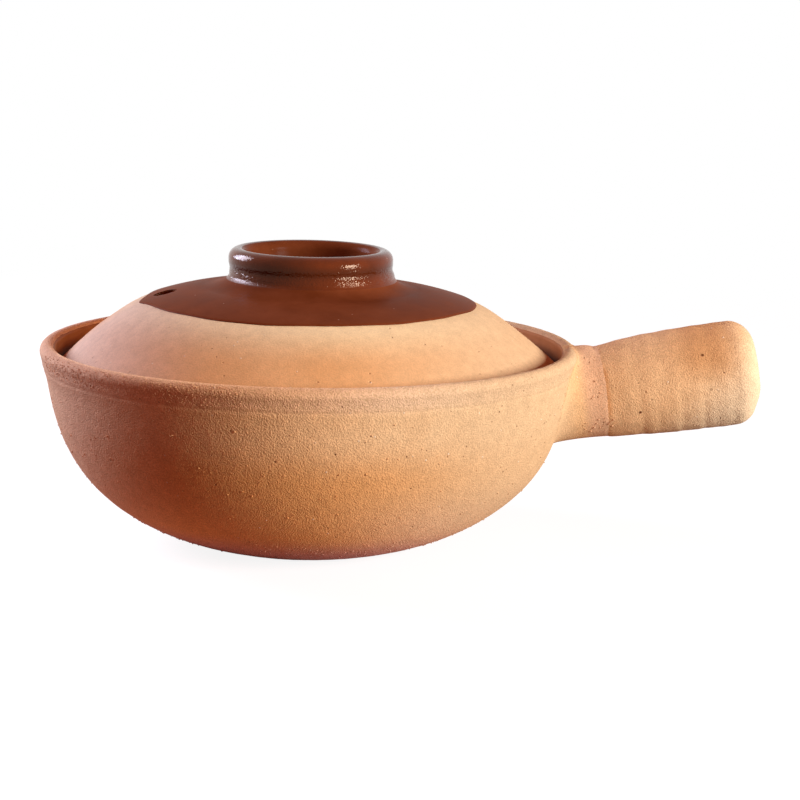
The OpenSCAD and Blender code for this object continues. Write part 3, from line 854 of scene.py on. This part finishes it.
def bowl_sand():
    """Grains of sand that stand out of the bowl's wall: near the foot, up the wall and on the rim."""
    wall = wall_outline(60)
    height = wall[:, 1]
    foot = wall[(height > 3) & (height < 14)]
    side = wall[height < 64][20:]
    rim = joined(wall[height > RIM_LINE_Z + 1], arc(LIP_CENTRE, LIP_R, LIP_START, 60, 8))
    pieces = []
    for name, reach, share, largest in (
            ("bowl_grog_low", foot, 5.0, 1.0), ("bowl_grog_wall", side, 1.2, 1.0),
            ("bowl_grog_rim", rim, 60.0, 0.6)):
        ground = swell(thrown(name, reach, BOWL_CLAY, 300, wander=BOWL_WANDER, seed=BOWL_SEED))
        if reach is rim:
            front_left(ground.data)
        pieces.append(grog(name, ground, BOWL_CLAY, share, 0.3, largest, 21))
    return pieces


# Pieces of the lid

def vent_cutter():
    """What the steam vent takes out of the lid and its glaze. Its wall takes the second finish of the
    piece, because the glaze ran down it."""
    mesh = bpy.data.meshes.new("vent_cutter")
    shell = bmesh.new()
    bmesh.ops.create_cone(shell, cap_ends=True, segments=40, radius1=VENT_R * MM, radius2=VENT_R * MM,
                          depth=40 * MM)
    shell.to_mesh(mesh)
    shell.free()
    for side in mesh.polygons:
        side.material_index = 1
    middle = Vector((VENT_PLACE * math.cos(VENT_TURN), VENT_PLACE * math.sin(VENT_TURN), CROWN_Z))
    mesh.transform(Matrix.Translation(middle * MM))
    return linked("vent_cutter", mesh)


def leaned(piece):
    """The dome sank a little round its crown and to the right in the kiln, which left a fuller shoulder,
    while its edge still lies on its seat. The bead under the knob went to the right too."""
    points = points_of(piece.data)
    lift = smooth((points[:, 2] - SEAT_Z - LEAN_START) / LEAN_RISE)
    bead = bell(points[:, 2], BEAD_Z, BEAD_H)
    away = np.hypot(points[:, 0], points[:, 1])
    sag = SAG * bell(away, SAG_R, SAG_W) - SHOULDER * bell(away, SHOULDER_R, SHOULDER_W)
    points[:, 2] -= lift * (math.tan(LEAN) * (points[:, 0] + KNOB_CREST_R) + sag)
    points[:, 0] += BEAD_SHIFT * bead
    move_points(piece.data, points)
    return piece


def vented(piece, cutter):
    """Cuts the steam vent through a piece."""
    cut = piece.modifiers.new("vent", "BOOLEAN")
    cut.object = cutter
    cut.operation = "DIFFERENCE"
    cut.solver = "EXACT"
    return settle(piece)


def lid():
    """The thrown lid, a shallow dome that is hollow below."""
    seat_in = place_at(LID_CURVE, LID_WALL, SEAT_Z)
    under = cubic(LID_CURVE, np.linspace(1, seat_in, 31), LID_WALL)
    outline = joined(
        line((0, CROWN_Z - LID_WALL), under[0], step=9), under,
        arc((LID_EDGE[0] - LID_EDGE_ROUND, SEAT_Z + LID_EDGE_ROUND), LID_EDGE_ROUND, -90, 0, 6),
        cubic(LID_CURVE, np.linspace(0, 1, 70)), line((CROWN_R, CROWN_Z), (0, CROWN_Z), step=9))
    piece = thrown("lid_clay", outline, LID_CLAY, 480, wander=0.3, lumps=0.12, lump_size=9, seed=5.0)
    piece.data.materials.append(DOME_GLAZE)
    return piece


def lid_knob():
    """The ring knob's own clay, under the glaze."""
    ring = ring_outline(0)
    base = line((ring[-1][0], CROWN_Z + JOINT_GAP), (RECESS_R, CROWN_Z + JOINT_GAP), ring[0], step=3)
    return thrown("knob_clay", joined(ring, base), LID_CLAY, 200)


def glaze_edge(turn):
    """Radius of the glaze's edge round the lid: it wanders, and dips outwards past the vent."""
    wave = waves(turn, (0.35, 3, 0.6), (0.25, 7, 2.1), (0.12, 17, 0))
    return GLAZE_R - EDGE_IN + wave + VENT_DIP * bell(turn, VENT_DIP_TURN, VENT_DIP_W)


def lid_glaze():
    """The brown coat over the knob and the crown, with a rounded edge that wanders. It is glossy on the
    ring and satin elsewhere."""
    columns = 400
    turn = np.linspace(0, 2 * math.pi, columns, endpoint=False)
    dome = cubic(LID_CURVE, np.linspace(1, 0, 400))
    edge = glaze_edge(turn)

    def face(g, ring, steps):
        """Rows of the coat, g off the clay: over the knob's ring, and down the dome to a rounded edge."""
        ring = joined(line((0, CROWN_Z + g), (RECESS_R - g, CROWN_Z + g), step=6), ring)
        rows = [np.stack([r * np.cos(turn), r * np.sin(turn), np.full(columns, z)], -1) for r, z in ring]
        start = ring[-1, 0]
        for w in np.linspace(0, 1, steps + 1)[1:]:
            radius = start + (edge - start) * (1 - (1 - w) ** 1.5)
            left = np.clip((edge - radius) / EDGE_BEAD, 0, 1)
            lift = JOINT_GAP + (g - JOINT_GAP) * np.sqrt(1 - (1 - left) ** 2)
            z = np.interp(radius, dome[:, 0], dome[:, 1]) + lift
            rows.append(np.stack([radius * np.cos(turn), radius * np.sin(turn), z], -1))
        return rows

    outside, inside = ring_outline(COAT, COAT_REACH, COAT_SLOPE), ring_outline(JOINT_GAP)
    grid = np.array(face(COAT, outside, 60) + face(JOINT_GAP, inside, 30)[::-1])
    piece = skin("crown_glaze", grid, DOME_GLAZE)
    piece.data.materials.append(KNOB_GLAZE)
    for spot in piece.data.polygons:
        on_ring = math.hypot(spot.center.x, spot.center.y) > GLOSS_R * MM
        spot.material_index = int(on_ring and spot.center.z > GLOSS_Z * MM)
    return piece


def dress():
    """Makes every piece, sets it on its body and hides the CAD node that it stands for."""
    vent = vent_cutter()
    pieces = [
        (bowl(), "pot", "bowl", "bowl_clay"),
        (bowl_lining(), "pot", "bowl_glaze", "inside_glaze"),
        (handle(), "pot", "handle", "handle_clay"),
        (handle_collar(), "pot", "handle_collar", "handle_clay"),
        (vented(leaned(lid()), vent), "lid", "lid", "lid_clay"),
        (leaned(lid_knob()), "lid", "lid_knob", "lid_clay"),
        (vented(leaned(lid_glaze()), vent), "lid", "lid_glaze", "lid_glaze"),
    ]
    bpy.data.objects.remove(vent)
    for piece, body, node, slot in pieces:
        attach(piece, body)
        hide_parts(node)
    for sand in bowl_sand():
        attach(sand, "pot")
    for crumb in crumbs():
        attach(crumb, "pot")


# Stage, light and camera

def seen_directly(tree):
    """1 for what the eye sees, straight, in a reflection or through glass, and 0 for the light it throws."""
    path = add(tree, "ShaderNodeLightPath", out=None).outputs
    seen = path["Is Camera Ray"]
    for ray in ("Is Glossy Ray", "Is Transmission Ray"):
        seen = add(tree, "ShaderNodeMath", {0: seen, 1: path[ray]}, operation="MAXIMUM")
    return seen


def floor():
    """A pale floor: to the eye it is near white and keeps a soft shadow, and it throws the light of a dim
    warm tabletop with a paler cloth under the pot."""
    mesh = bpy.data.meshes.new("floor")
    reach = 6.0
    mesh.from_pydata([(-reach, -reach, 0), (reach, -reach, 0), (reach, reach, 0), (-reach, reach, 0)], [],
                     [(0, 1, 2, 3)])
    material = bpy.data.materials.new("pale_tabletop")
    material.use_nodes = True
    tree = material.node_tree
    tree.nodes.clear()
    place = add(tree, "ShaderNodeTexCoord", out="Object")
    away = add(tree, "ShaderNodeVectorMath", {0: place}, operation="LENGTH", out=1)
    fade = add(tree, "ShaderNodeMapRange", {0: away, 1: 0.25, 2: 0.8, 3: 0.0, 4: 1.0},
               interpolation_type="SMOOTHSTEP")
    pale = add(tree, "ShaderNodeBsdfDiffuse", {"Color": linear("#8a8683")})
    glow = add(tree, "ShaderNodeEmission", {"Color": (1, 1, 1, 1), "Strength": 0.88})
    lit = add(tree, "ShaderNodeAddShader", {0: pale, 1: glow})
    white = add(tree, "ShaderNodeEmission", {"Color": (1, 1, 1, 1), "Strength": 1.0})
    shown = add(tree, "ShaderNodeMixShader", {0: fade, 1: lit, 2: white})
    near = add(tree, "ShaderNodeMapRange", {0: away, 1: 0.06, 2: 0.16, 3: 1.0, 4: 0.0},
               interpolation_type="SMOOTHSTEP")
    bounce = add(tree, "ShaderNodeMix", {0: near, 6: linear("#6a463e"), 7: linear("#c8988a")},
                 data_type="RGBA", out=2)
    warm = add(tree, "ShaderNodeBsdfDiffuse", {"Color": bounce})
    surface = add(tree, "ShaderNodeMixShader", {0: seen_directly(tree), 1: warm, 2: shown})
    add(tree, "ShaderNodeOutputMaterial", {"Surface": surface}, out=None)
    mesh.materials.append(material)
    linked("floor", mesh)


def backdrop():
    """White to the eye and in reflections, and a dim warm room to everything else."""
    world = bpy.data.worlds.new("studio")
    bpy.context.scene.world = world
    world.use_nodes = True
    tree = world.node_tree
    tree.nodes.clear()
    room = add(tree, "ShaderNodeBackground", {"Color": linear("#884638"), "Strength": 1.0})
    white = add(tree, "ShaderNodeBackground", {"Color": (1, 1, 1, 1), "Strength": 1.0})
    mix = add(tree, "ShaderNodeMixShader", {0: seen_directly(tree), 1: room, 2: white})
    add(tree, "ShaderNodeOutputWorld", {"Surface": mix}, out=None)


# What the camera looks at, its distance in metres, its height and roll in degrees, and its lens
TARGET = Vector((35.7, 0, 54.5)) * MM
CAMERA_AWAY, CAMERA_UP, CAMERA_ROLL, CAMERA_LENS = 0.9, 10.61, 1.1, 102.9


def from_camera_side(azimuth, elevation, away):
    """A place round the target: azimuth in degrees to the right of the camera, elevation above the floor."""
    a, e = math.radians(azimuth), math.radians(elevation)
    return TARGET + away * Vector((math.sin(a) * math.cos(e), -math.cos(a) * math.cos(e), math.sin(e)))


def softbox(name, azimuth, elevation, away, width, height, level, colour):
    """A rectangular lamp that lights a white card at the target to this level, where 1 is white."""
    lamp = bpy.data.lights.new(name, "AREA")
    lamp.shape = "RECTANGLE"
    lamp.size, lamp.size_y = width, height
    lamp.color = linear(colour)[:3]
    lamp.energy = level * (math.pi * away) ** 2
    piece = bpy.data.objects.new(name, lamp)
    bpy.context.scene.collection.objects.link(piece)
    piece.location = from_camera_side(azimuth, elevation, away)
    piece.rotation_euler = (TARGET - piece.location).to_track_quat("-Z", "Y").to_euler()


def camera():
    """The photograph's view, from a little above the rim."""
    lens = bpy.data.cameras.new("camera")
    lens.lens = CAMERA_LENS
    eye = bpy.data.objects.new("camera", lens)
    bpy.context.scene.collection.objects.link(eye)
    eye.location = from_camera_side(0, CAMERA_UP, CAMERA_AWAY)
    facing = (TARGET - eye.location).to_track_quat("-Z", "Y").to_matrix().to_4x4()
    eye.rotation_euler = (facing @ Matrix.Rotation(math.radians(CAMERA_ROLL), 4, "Z")).to_euler()
    bpy.context.scene.camera = eye


bpy.context.scene.view_settings.view_transform = "Standard"
camera()
floor()
backdrop()
softbox("key_softbox", azimuth=58, elevation=13, away=1.0, width=0.32, height=0.36, level=1.36,
        colour="#ffffff")
softbox("side_softbox", azimuth=-116, elevation=22, away=1.0, width=0.44, height=0.48, level=1.50,
        colour="#dce2ff")
dress()
